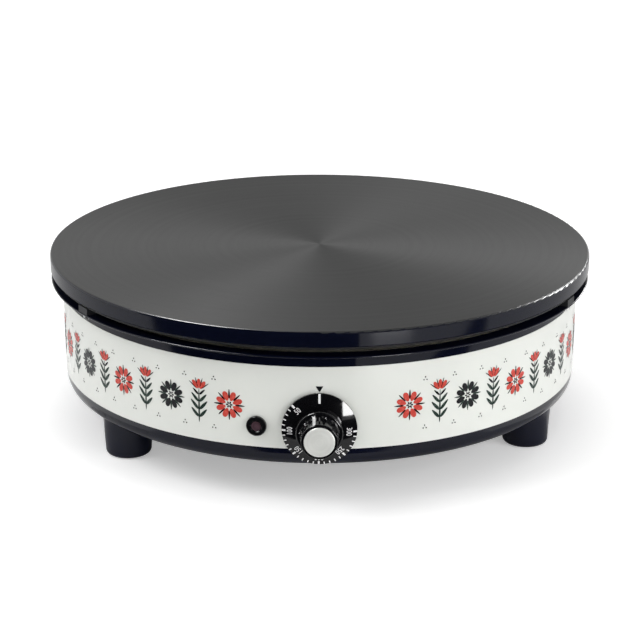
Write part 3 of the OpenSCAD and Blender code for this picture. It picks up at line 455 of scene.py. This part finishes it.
def makeMotifTree(petalPoints):
    # a row of fans of petals on a flat strip, then wound round the band
    wanted = [
        ("Motifs", "NodeSocketInt", 1), ("Pitch", "NodeSocketFloat", 0.05),
        ("Start", "NodeSocketFloat", 0.0), ("Lift", "NodeSocketFloat", 0.0),
        ("Petals", "NodeSocketInt", 8), ("Step", "NodeSocketFloat", 0.785),
        ("Turn", "NodeSocketFloat", 0.0), ("Inner", "NodeSocketFloat", 0.001),
        ("Length", "NodeSocketFloat", 0.005), ("Width", "NodeSocketFloat", 0.002),
        ("Taper", "NodeSocketFloat", 0.0), ("Radius", "NodeSocketFloat", 0.19),
        ("Middle", "NodeSocketFloat", 0.07), ("Proud", "NodeSocketFloat", 0.0001),
        ("Thickness", "NodeSocketFloat", 0.0001), ("Ink", "NodeSocketMaterial", None)]
    tree, source, result = newGroup("bandMotifs", "GeometryNodeTree", wanted,
                                    [("Geometry", "NodeSocketGeometry")])
    given = source.outputs
    disc = addNode(tree, "GeometryNodeMeshCircle", {"Vertices": petalPoints, "Radius": 1.0},
                   fill_type="NGON")
    at = addNode(tree, "ShaderNodeSeparateXYZ", {
        "Vector": addNode(tree, "GeometryNodeInputPosition").outputs[0]})
    half = calc(tree, "MULTIPLY", given["Width"], 0.5)
    narrow = calc(tree, "SUBTRACT", 1.0, calc(tree, "MULTIPLY", given["Taper"], at.outputs["Y"]))
    along = calc(tree, "MULTIPLY", calc(tree, "ADD", at.outputs["Y"], 1.0),
                 calc(tree, "MULTIPLY", given["Length"], 0.5))
    petalPlace = addNode(tree, "ShaderNodeCombineXYZ", {
        "X": calc(tree, "MULTIPLY", calc(tree, "MULTIPLY", at.outputs["X"], half), narrow),
        "Y": calc(tree, "ADD", given["Inner"], along), "Z": 0.0})
    petal = addNode(tree, "GeometryNodeSetPosition", {
        "Geometry": disc.outputs[0], "Position": petalPlace.outputs[0]})
    spots = addNode(tree, "GeometryNodeMeshLine", {
        "Count": given["Petals"], "Offset": (0, 0, 0)})
    index = addNode(tree, "GeometryNodeInputIndex").outputs[0]
    middle = calc(tree, "MULTIPLY", calc(tree, "SUBTRACT", given["Petals"], 1.0), 0.5)
    angle = calc(tree, "ADD", given["Turn"], calc(
        tree, "MULTIPLY", calc(tree, "SUBTRACT", index, middle), given["Step"]))
    facing = addNode(tree, "FunctionNodeEulerToRotation", {
        0: addNode(tree, "ShaderNodeCombineXYZ", {"Z": angle}).outputs[0]})
    fan = addNode(tree, "GeometryNodeInstanceOnPoints", {
        "Points": spots.outputs[0], "Instance": petal.outputs[0],
        "Rotation": facing.outputs[0]})
    row = addNode(tree, "GeometryNodeMeshLine", {
        "Count": given["Motifs"],
        "Start Location": addNode(tree, "ShaderNodeCombineXYZ", {
            "X": given["Start"], "Y": given["Lift"]}).outputs[0],
        "Offset": addNode(tree, "ShaderNodeCombineXYZ", {"X": given["Pitch"]}).outputs[0]})
    repeated = addNode(tree, "GeometryNodeInstanceOnPoints", {
        "Points": row.outputs[0], "Instance": fan.outputs[0]})
    real = addNode(tree, "GeometryNodeRealizeInstances", {"Geometry": repeated.outputs[0]})
    flat = addNode(tree, "ShaderNodeSeparateXYZ", {
        "Vector": addNode(tree, "GeometryNodeInputPosition").outputs[0]})
    reach = calc(tree, "ADD", given["Radius"], given["Proud"])
    swing = calc(tree, "DIVIDE", flat.outputs["X"], given["Radius"])
    wound = addNode(tree, "ShaderNodeCombineXYZ", {
        "X": calc(tree, "MULTIPLY", reach, calc(tree, "SINE", swing)),
        "Y": calc(tree, "MULTIPLY", calc(tree, "MULTIPLY", reach, -1.0),
                  calc(tree, "COSINE", swing)),
        "Z": calc(tree, "ADD", given["Middle"], flat.outputs["Y"])})
    placed = addNode(tree, "GeometryNodeSetPosition", {
        "Geometry": real.outputs[0], "Position": wound.outputs[0]})
    solid = addNode(tree, "GeometryNodeGroup", {
        "Geometry": placed.outputs[0], "Thickness": given["Thickness"]}, node_tree=closedSheet)
    whole = addNode(tree, "GeometryNodeRealizeInstances", {"Geometry": solid.outputs[0]})
    inked = addNode(tree, "GeometryNodeSetMaterial", {
        "Geometry": whole.outputs[0], "Material": given["Ink"]})
    tree.links.new(inked.outputs[0], result.inputs["Geometry"])
    return tree


def growMesh(name, tree, values):
    # runs a tree once and keeps its result as a plain mesh
    holder = bpy.data.objects.new(name + "Seed", bpy.data.meshes.new(name + "Seed"))
    scene.collection.objects.link(holder)
    modifier = holder.modifiers.new("grow", "NODES")
    modifier.node_group = tree
    for item in tree.interface.items_tree:
        if item.item_type == "SOCKET" and item.in_out == "INPUT" and item.name in values:
            modifier[item.identifier] = values[item.name]
    graph = bpy.context.evaluated_depsgraph_get()
    grown = bpy.data.meshes.new_from_object(holder.evaluated_get(graph))
    bpy.data.objects.remove(holder)
    grown.name = name
    return grown


def joinMeshes(name, meshes):
    # one piece out of several plain meshes that share an ink
    points, faces = [], []
    for mesh in meshes:
        start = len(points)
        points += [v.co.copy() for v in mesh.vertices]
        faces += [[start + i for i in p.vertices] for p in mesh.polygons]
    joined = bpy.data.meshes.new(name)
    joined.from_pydata(points, [], faces)
    joined.materials.append(meshes[0].materials[-1])
    return joined


def addPiece(name, mesh, body):
    piece = bpy.data.objects.new(name, mesh)
    scene.collection.objects.link(piece)
    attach(piece, body)
    return piece


# round flowers, red and dark by turns, with an upright sprig between each two; a layer is a
# fan of petals, its lengths in mm and its angles in degrees
friezeLook = {
    "firstMotif": 62 * mm,  # along the band from the front
    "motifs": 49,
    "middle": 70 * mm,
    "proud": 0.06 * mm,
    "thickness": 0.08 * mm,
    "petalPoints": 12,  # round one petal
}
flowerLayers = [
    ("petal", {"Petals": 8, "Step": 45, "Inner": 2.8, "Length": 7.2, "Width": 3.9,
               "Taper": -0.25}),
    ("thorn", {"Petals": 8, "Step": 45, "Turn": 22.5, "Inner": 4.2, "Length": 7.0, "Width": 1.2,
               "Taper": 0.3}),
    ("black", {"Petals": 6, "Step": 60, "Inner": 0.6, "Length": 1.9, "Width": 1.1}),
]
sprigLayers = [
    ("green", {"Petals": 1, "Lift": -16, "Inner": 0, "Length": 25, "Width": 1.2, "Taper": 0.4}),
    ("green", {"Petals": 2, "Step": 84, "Lift": -12.5, "Inner": 0.7, "Length": 8.2, "Width": 2.2,
               "Taper": 0.3}),
    ("green", {"Petals": 2, "Step": 84, "Lift": -7, "Inner": 0.7, "Length": 8.8, "Width": 2.2,
               "Taper": 0.3}),
    ("green", {"Petals": 2, "Step": 84, "Lift": -1.5, "Inner": 0.7, "Length": 8, "Width": 2.0,
               "Taper": 0.3}),
    ("black", {"Petals": 2, "Step": 92, "Lift": 3.8, "Inner": 0.6, "Length": 5.8, "Width": 1.5,
               "Taper": 0.3}),
    ("red", {"Petals": 3, "Step": 34, "Lift": 7, "Inner": 1.6, "Length": 7, "Width": 2.8,
             "Taper": -0.2}),
    ("black", {"Petals": 4, "Step": 34, "Lift": 7, "Inner": 2.5, "Length": 7.2, "Width": 0.8,
               "Taper": 0.2}),
]
dotLayers = [
    ("black", {"Petals": 3, "Step": 120, "Lift": 17.5, "Inner": 0.8, "Length": 1, "Width": 0.9}),
    ("black", {"Petals": 3, "Step": 120, "Lift": -17.5, "Inner": 0.8, "Length": 1,
               "Width": 0.9}),
]


def makeFrieze(look):
    tree = makeMotifTree(look["petalPoints"])
    bandLength = 2 * math.pi * bandRadius
    pitch = (bandLength - 2 * look["firstMotif"]) / (look["motifs"] - 1)
    total = look["motifs"]
    # each row: its layers, first place, count, stride, and the inks of its flowers
    rows = [(flowerLayers, 0.0, (total + 3) // 4, 4, {"petal": "red", "thorn": "black"}),
            (flowerLayers, 2.0, (total + 1) // 4, 4, {"petal": "black", "thorn": "green"}),
            (sprigLayers, 1.0, total // 2, 2, {}), (dotLayers, 0.5, total - 1, 1, {})]
    grown = {}
    for layers, shift, count, stride, inkOf in rows:
        for part, layer in layers:
            ink = inkOf.get(part, part)
            values = {
                "Motifs": count, "Pitch": pitch * stride,
                "Start": look["firstMotif"] + shift * pitch,
                "Middle": look["middle"], "Radius": bandRadius, "Proud": look["proud"],
                "Thickness": look["thickness"], "Ink": inks[ink], "Petals": layer["Petals"],
                "Step": math.radians(layer.get("Step", 0)),
                "Turn": math.radians(layer.get("Turn", 0)), "Taper": layer.get("Taper", 0.0)}
            for key in ("Lift", "Inner", "Length", "Width"):
                values[key] = layer.get(key, 0) * mm
            grown.setdefault(ink, []).append(growMesh("layer", tree, values))
    for ink, meshes in grown.items():
        name = ink + "Frieze"
        piece = addPiece(name, joinMeshes(name, meshes), "housing")
        print("frieze:", name, len(piece.data.polygons), "faces")


makeFrieze(friezeLook)


# the black pointer on the band, above the dial
pointerLook = {"width": 5.1 * mm, "tip": 82.75 * mm, "top": 87.0 * mm, "proud": 0.06 * mm,
               "thickness": 0.08 * mm}


def makePointer(look):
    reach = bandRadius + look["proud"]
    outer = reach + look["thickness"]
    points = []
    for r in (reach, outer):
        for u, z in ((0, look["tip"]), (look["width"] / 2, look["top"]),
                     (-look["width"] / 2, look["top"])):
            points.append((r * math.sin(u / bandRadius), -r * math.cos(u / bandRadius), z))
    faces = [(0, 2, 1), (3, 4, 5), (0, 1, 4, 3), (1, 2, 5, 4), (2, 0, 3, 5)]
    mesh = bpy.data.meshes.new("bandPointer")
    mesh.from_pydata(points, [], faces)
    mesh.materials.append(inks["black"])
    addPiece("bandPointer", mesh, "housing")
    print("pointer: made")


makePointer(pointerLook)


dialLook = {
    "domeRadius": 75 * mm,  # of the skirt's face
    "rimRise": 1.2 * mm,  # the skirt's thickness at its edge
    "edge": 25.5 * mm,
    "proud": 0.03 * mm,
    "thickness": 0.06 * mm,
    "firstTurn": 47.0,
    "lastTurn": 267.0,
    "tickEvery": 8.8,
    "tickOuter": 25.4 * mm,
    "tickSize": (0.72 * mm, 2.0 * mm),
    "majorSize": (1.3 * mm, 2.6 * mm),
    "tickPoints": 7,  # along a tick, which lets it follow the dome
}


def faceHeight(r, look):
    # how far the skirt's face stands from the casing at that radius
    dome = look["domeRadius"]
    middle = look["rimRise"] - math.sqrt(dome ** 2 - look["edge"] ** 2)
    return middle + math.sqrt(dome ** 2 - r ** 2)


def makeTickTree(tickPoints):
    # bars in an arc on a flat face, every fifth one larger
    wanted = [
        ("Ticks", "NodeSocketInt", 26), ("First", "NodeSocketFloat", 0.8),
        ("Step", "NodeSocketFloat", 0.15), ("Outer", "NodeSocketFloat", 0.0247),
        ("Width", "NodeSocketFloat", 0.0008), ("Length", "NodeSocketFloat", 0.002),
        ("Major Every", "NodeSocketInt", 5), ("Major Width", "NodeSocketFloat", 0.0012),
        ("Major Length", "NodeSocketFloat", 0.0025), ("Ink", "NodeSocketMaterial", None)]
    tree, source, result = newGroup("dialTicks", "GeometryNodeTree", wanted,
                                    [("Geometry", "NodeSocketGeometry")])
    given = source.outputs
    bar = addNode(tree, "GeometryNodeMeshGrid", {
        "Size X": 1.0, "Size Y": 1.0, "Vertices X": 2, "Vertices Y": tickPoints})
    bar = addNode(tree, "GeometryNodeTransform", {
        "Geometry": bar.outputs[0], "Translation": (0, -0.5, 0)})
    spots = addNode(tree, "GeometryNodeMeshLine", {
        "Count": given["Ticks"], "Offset": (0, 0, 0)})
    index = addNode(tree, "GeometryNodeInputIndex").outputs[0]
    angle = calc(tree, "ADD", given["First"], calc(tree, "MULTIPLY", index, given["Step"]))
    ring = addNode(tree, "ShaderNodeCombineXYZ", {
        "X": calc(tree, "MULTIPLY", calc(tree, "MULTIPLY", given["Outer"], -1.0),
                  calc(tree, "SINE", angle)),
        "Y": calc(tree, "MULTIPLY", given["Outer"], calc(tree, "COSINE", angle))})
    placed = addNode(tree, "GeometryNodeSetPosition", {
        "Geometry": spots.outputs[0], "Position": ring.outputs[0]})
    rest = calc(tree, "MODULO", index, given["Major Every"])
    small = calc(tree, "GREATER_THAN", rest, 0.5)
    big = calc(tree, "SUBTRACT", 1.0, small)
    width = calc(tree, "ADD", calc(tree, "MULTIPLY", small, given["Width"]),
                 calc(tree, "MULTIPLY", big, given["Major Width"]))
    length = calc(tree, "ADD", calc(tree, "MULTIPLY", small, given["Length"]),
                  calc(tree, "MULTIPLY", big, given["Major Length"]))
    facing = addNode(tree, "FunctionNodeEulerToRotation", {
        0: addNode(tree, "ShaderNodeCombineXYZ", {"Z": angle}).outputs[0]})
    marks = addNode(tree, "GeometryNodeInstanceOnPoints", {
        "Points": placed.outputs[0], "Instance": bar.outputs[0],
        "Rotation": facing.outputs[0],
        "Scale": addNode(tree, "ShaderNodeCombineXYZ", {
            "X": width, "Y": length, "Z": 1.0}).outputs[0]})
    real = addNode(tree, "GeometryNodeRealizeInstances", {"Geometry": marks.outputs[0]})
    inked = addNode(tree, "GeometryNodeSetMaterial", {
        "Geometry": real.outputs[0], "Material": given["Ink"]})
    tree.links.new(inked.outputs[0], result.inputs["Geometry"])
    return tree


def drape(mesh, look, turn=0.0, lift=0.0):
    # a flat mark drawn round (0, 0) is laid on the dial's face, and given a back
    mesh.transform(Matrix.Rotation(turn, 4, "Z") @ Matrix.Translation((0, lift, 0)))
    count = len(mesh.vertices)
    flat = [v.co.copy() for v in mesh.vertices]
    faces = [list(p.vertices) for p in mesh.polygons]
    edges = dict.fromkeys(
        (a, b) for face in faces for a, b in zip(face, face[1:] + face[:1]))
    points = []
    for layer in (look["proud"], look["proud"] + look["thickness"]):
        for p in flat:
            away = faceHeight(math.hypot(p.x, p.y), look) + layer
            points.append((p.x, dialBack - away, dialHeight + p.y))
    solid = [list(reversed(f)) for f in faces] + [[i + count for i in f] for f in faces]
    solid += [[a, b, b + count, a + count] for a, b in edges if (b, a) not in edges]
    made = bpy.data.meshes.new(mesh.name)
    made.from_pydata(points, [], solid)
    made.materials.append(inks["white"])
    return made


def makeTicks(look):
    tree = makeTickTree(look["tickPoints"])
    count = round((look["lastTurn"] - look["firstTurn"]) / look["tickEvery"]) + 1
    mesh = growMesh("dialTicks", tree, {
        "Ticks": count, "First": math.radians(look["firstTurn"]),
        "Step": math.radians(look["tickEvery"]), "Outer": look["tickOuter"],
        "Width": look["tickSize"][0], "Length": look["tickSize"][1],
        "Major Width": look["majorSize"][0], "Major Length": look["majorSize"][1],
        "Ink": inks["white"]})
    addPiece("dialTicks", drape(mesh, look), "dial")
    print("dial:", count, "ticks")


makeTicks(dialLook)

numberLook = {
    "labels": ("50", "100", "150", "200", "250", "300"),
    "every": 44.0,  # degrees from one to the next
    "centre": 20.1 * mm,
    "height": 3.7 * mm,
    "heightShare": 0.7,  # of the font's size
    "squeeze": 0.72,
    "bold": 0.025 * mm,
    "spacing": 1.08,
    "curveSteps": 4,
}


def makeNumbers(look):
    meshes = []
    for place, label in enumerate(look["labels"]):
        letters = bpy.data.curves.new("figures", "FONT")
        letters.body = label
        letters.align_x = "CENTER"
        letters.align_y = "CENTER"
        letters.size = look["height"] / look["heightShare"]
        letters.offset = look["bold"]
        letters.space_character = look["spacing"]
        letters.resolution_u = look["curveSteps"]
        holder = bpy.data.objects.new("figures", letters)
        scene.collection.objects.link(holder)
        graph = bpy.context.evaluated_depsgraph_get()
        mesh = bpy.data.meshes.new_from_object(holder.evaluated_get(graph))
        bpy.data.objects.remove(holder)
        xs = [v.co.x for v in mesh.vertices]
        ys = [v.co.y for v in mesh.vertices]
        mesh.transform(Matrix.Diagonal((look["squeeze"], 1, 1, 1)) @ Matrix.Translation(
            (-(min(xs) + max(xs)) / 2, -(min(ys) + max(ys)) / 2, 0)))
        angle = dialLook["firstTurn"] + look["every"] * place
        meshes.append(drape(mesh, dialLook, math.radians(angle), look["centre"]))
    addPiece("dialNumbers", joinMeshes("dialNumbers", meshes), "dial")
    print("dial: numbers")


makeNumbers(numberLook)

zeroLook = {"inner": 19.2 * mm, "outer": 25.4 * mm, "width": 1.55 * mm, "rows": 12}


def makeZeroLine(look):
    points = []
    for i in range(look["rows"] + 1):
        r = look["inner"] + (look["outer"] - look["inner"]) * i / look["rows"]
        points += [(-look["width"] / 2, r, 0), (look["width"] / 2, r, 0)]
    faces = [(2 * i, 2 * i + 1, 2 * i + 3, 2 * i + 2) for i in range(look["rows"])]
    flat = bpy.data.meshes.new("zeroLine")
    flat.from_pydata(points, [], faces)
    addPiece("zeroLine", drape(flat, dialLook), "dial")
    print("dial: zero line")


makeZeroLine(zeroLook)

# the line in the grip's flute that points to the zero line
gripLook = {
    "fluteTurn": 16.5,
    "fluteRing": 14.6 * mm,
    "fluteRadius": 2.2 * mm,
    "width": 2.0 * mm,
    "low": 11.6 * mm,  # where the flute begins, from the casing
    "high": 24.0 * mm,
    "inset": 0.25 * mm,  # keeps the line off the flute's very end
    "layers": (0.03 * mm, 0.1 * mm),
    "across": 6,
    "steps": 9,
}


def makeGripLine(look):
    across, steps, radius = look["across"], look["steps"], look["fluteRadius"]
    fluteStart = look["low"] + radius
    aways = [look["low"] + look["inset"] + (radius - look["inset"]) * i / (steps - 2)
             for i in range(steps - 1)] + [look["high"]]
    points, faces = [], []
    for layer in look["layers"]:
        for away in aways:
            # the flute ends in a quarter of a ball at the collar
            depth = math.sqrt(radius ** 2 - max(fluteStart - away, 0) ** 2)
            for i in range(across + 1):
                x = look["width"] * (i / across - 0.5)
                r = look["fluteRing"] - math.sqrt(max(depth ** 2 - x ** 2, 0)) + layer
                points.append((x, dialBack - away, r))
    row, sheet = across + 1, (across + 1) * steps
    for j in range(steps - 1):
        for i in range(across):
            a, b = j * row + i, (j + 1) * row + i
            faces += [(a, b, b + 1, a + 1),
                      (sheet + a, sheet + a + 1, sheet + b + 1, sheet + b)]
        for i, turned in ((0, False), (across, True)):
            a, b = j * row + i, (j + 1) * row + i
            side = (a, sheet + a, sheet + b, b)
            faces.append(tuple(reversed(side)) if turned else side)
    for j, turned in ((0, True), (steps - 1, False)):
        for i in range(across):
            a = j * row + i
            end = (a, sheet + a, sheet + a + 1, a + 1)
            faces.append(tuple(reversed(end)) if turned else end)
    mesh = bpy.data.meshes.new("gripLine")
    mesh.from_pydata(points, [], faces)
    turn = Matrix.Rotation(math.radians(-look["fluteTurn"]), 4, "Y")
    mesh.transform(Matrix.Translation((0, 0, dialHeight)) @ turn)
    mesh.materials.append(inks["white"])
    addPiece("gripLine", mesh, "dial")
    print("dial: grip line")


makeGripLine(gripLook)


floorLook = {
    "colour": 0.93, "half": 9.0,  # half its side
    "glow": 0.36, "farGlow": 0.9, "glowFrom": 1.2, "glowTo": 4.5,  # keeps it white far out
    "mirrored": 0.2,  # the glow that gloss sees
    "near": 0.27, "far": 0.5, "farTone": 0.5,  # gloss sees less of the floor far out
}


def makeFloor(look):
    half = look["half"]
    mesh = bpy.data.meshes.new("studioFloor")
    mesh.from_pydata([(-half, -half, 0), (half, -half, 0), (half, half, 0), (-half, half, 0)],
                     [], [(0, 1, 2, 3)])
    floor = bpy.data.objects.new("studioFloor", mesh)
    scene.collection.objects.link(floor)
    material, tree, shader, where = newMaterial("studioFloor")
    tree.nodes.remove(shader)
    seen = addNode(tree, "ShaderNodeLightPath").outputs
    mirrored = calc(tree, "MAXIMUM", seen["Is Glossy Ray"], seen["Is Transmission Ray"])
    away = addNode(tree, "ShaderNodeVectorMath", {0: where}, operation="LENGTH").outputs["Value"]
    fade = spread(tree, mirrored, 0, 1, 1.0,
                  spread(tree, away, look["near"], look["far"], 1.0, look["farTone"]))
    tone = calc(tree, "MULTIPLY", fade, look["colour"])
    shown = spread(tree, away, look["glowFrom"], look["glowTo"], look["glow"], look["farGlow"])
    glow = calc(tree, "MULTIPLY_ADD", mirrored, look["mirrored"],
                calc(tree, "MULTIPLY", seen["Is Camera Ray"], shown))
    matte = addNode(tree, "ShaderNodeBsdfDiffuse", {
        "Color": addNode(tree, "ShaderNodeCombineColor", {0: tone, 1: tone, 2: tone}).outputs[0]})
    shine = addNode(tree, "ShaderNodeEmission", {"Strength": calc(tree, "MULTIPLY", glow, fade)})
    both = addNode(tree, "ShaderNodeAddShader", {0: matte.outputs[0], 1: shine.outputs[0]})
    tree.links.new(both.outputs[0], tree.nodes["Material Output"].inputs["Surface"])
    mesh.materials.append(material)


makeFloor(floorLook)


# dark cards stand before the object and a grey mat lies there, which only gloss sees: the cards
# are a painted dark reflection where a dark room would be, and the mat is the floor's painted
# shade as reflections show it
cardLook = {
    "front": -0.266,
    "dark": 0.008,
    "grey": 0.6,
    "cards": {"leftDarkReflection": (-0.70, 0.046, 0.001, 1.0), "rightDarkReflection": (0.046, 0.46, 0.001, 0.050)},
    "mat": (-0.21, 0.21, -0.06, 0.0006),  # left, right, back edge and height
}


def makeCard(name, corners, tone):
    material = bpy.data.materials.new(name)
    material.use_nodes = True
    shader = material.node_tree.nodes["Principled BSDF"]
    shader.inputs["Base Color"].default_value = (tone, tone, tone, 1)
    shader.inputs["Specular IOR Level"].default_value = 0
    mesh = bpy.data.meshes.new(name)
    mesh.from_pydata(corners, [], [(0, 1, 2, 3)])
    mesh.materials.append(material)
    card = bpy.data.objects.new(name, mesh)
    scene.collection.objects.link(card)
    for ray in ("camera", "diffuse", "transmission", "shadow"):
        setattr(card, "visible_" + ray, False)


def makeCards(look):
    front = look["front"]
    for name, (left, right, low, high) in look["cards"].items():
        makeCard(name, [(left, front, low), (right, front, low), (right, front, high),
                        (left, front, high)], look["dark"])
    left, right, back, height = look["mat"]
    # painted shade of the floor in front, seen only in reflections
    makeCard("floorShadeReflection", [(left, front, height), (right, front, height), (right, back, height),
                         (left, back, height)], look["grey"])


makeCards(cardLook)

worldLook = {
    "ambient": 0.5,
    "shown": 1.0,
    "overhead": 0.3,  # what gloss sees straight above
    "rise": (0.05, 0.8),  # the heights between which it fades to that
    "front": 0.72,  # and before or behind, against the sides
    "turn": (0.15, 0.85),  # how far to the side it fades out of that
}


def makeWorld(look):
    world = bpy.data.worlds.new("studioWorld")
    world.use_nodes = True
    scene.world = world
    tree = world.node_tree
    shown = tree.nodes["Background"]
    seen = addNode(tree, "ShaderNodeLightPath").outputs
    mirrored = calc(tree, "MAXIMUM", seen["Is Glossy Ray"], seen["Is Transmission Ray"])
    way = addNode(tree, "ShaderNodeSeparateXYZ", {
        "Vector": addNode(tree, "ShaderNodeTexCoord").outputs["Generated"]}).outputs
    height = spread(tree, way["Z"], *look["rise"], 1.0, look["overhead"])
    side = spread(tree, calc(tree, "ABSOLUTE", way["X"]), *look["turn"], look["front"], 1.0)
    gloss = calc(tree, "MULTIPLY", calc(tree, "MULTIPLY", height, side), look["shown"])
    strength = spread(tree, seen["Is Camera Ray"], 0, 1, look["ambient"], look["shown"])
    shown.inputs["Color"].default_value = (1, 1, 1, 1)
    tree.links.new(spread(tree, mirrored, 0, 1, strength, gloss), shown.inputs["Strength"])


makeWorld(worldLook)

lampAim = (0, 0, 70 * mm)  # where all of them point
lamps = {
    "keyRight": {"place": (2.1, -1.6, 0.95), "size": (1.7, 1.7), "watts": 32, "inGloss": False},
    "sideLeft": {"place": (-1.9, -0.5, 2.05), "size": (1.5, 1.5), "watts": 25},
    "overhead": {"place": (0.1, 0.5, 2.2), "size": (1.8, 1.8), "watts": 11, "inGloss": False},
    # panels that only gloss sees
    "panelRight": {"place": (0.213, -0.487, 0.079), "size": (0.12, 0.098), "watts": 0.68,
                   "onMatt": False},
    "glintLeft": {"place": (-0.72, -0.2, 1.35), "size": (0.75, 0.5), "watts": 50,
                  "onMatt": False},
    "glintBack": {"place": (0.92, 1.08, 0.5), "size": (0.3, 0.3), "watts": 6,
                  "onMatt": False},
}


def makeLamps(looks):
    for name, look in looks.items():
        data = bpy.data.lights.new(name, "AREA")
        data.shape = "RECTANGLE"
        data.size, data.size_y = look["size"]
        data.energy = look["watts"]
        lamp = bpy.data.objects.new(name, data)
        lamp.location = look["place"]
        lamp.visible_glossy = look.get("inGloss", True)
        lamp.visible_diffuse = look.get("onMatt", True)
        aim = Vector(lampAim) - Vector(look["place"])
        lamp.rotation_euler = aim.to_track_quat("-Z", "Y").to_euler()
        scene.collection.objects.link(lamp)


makeLamps(lamps)
print("stage: floor, world and", len(lamps), "lamps")
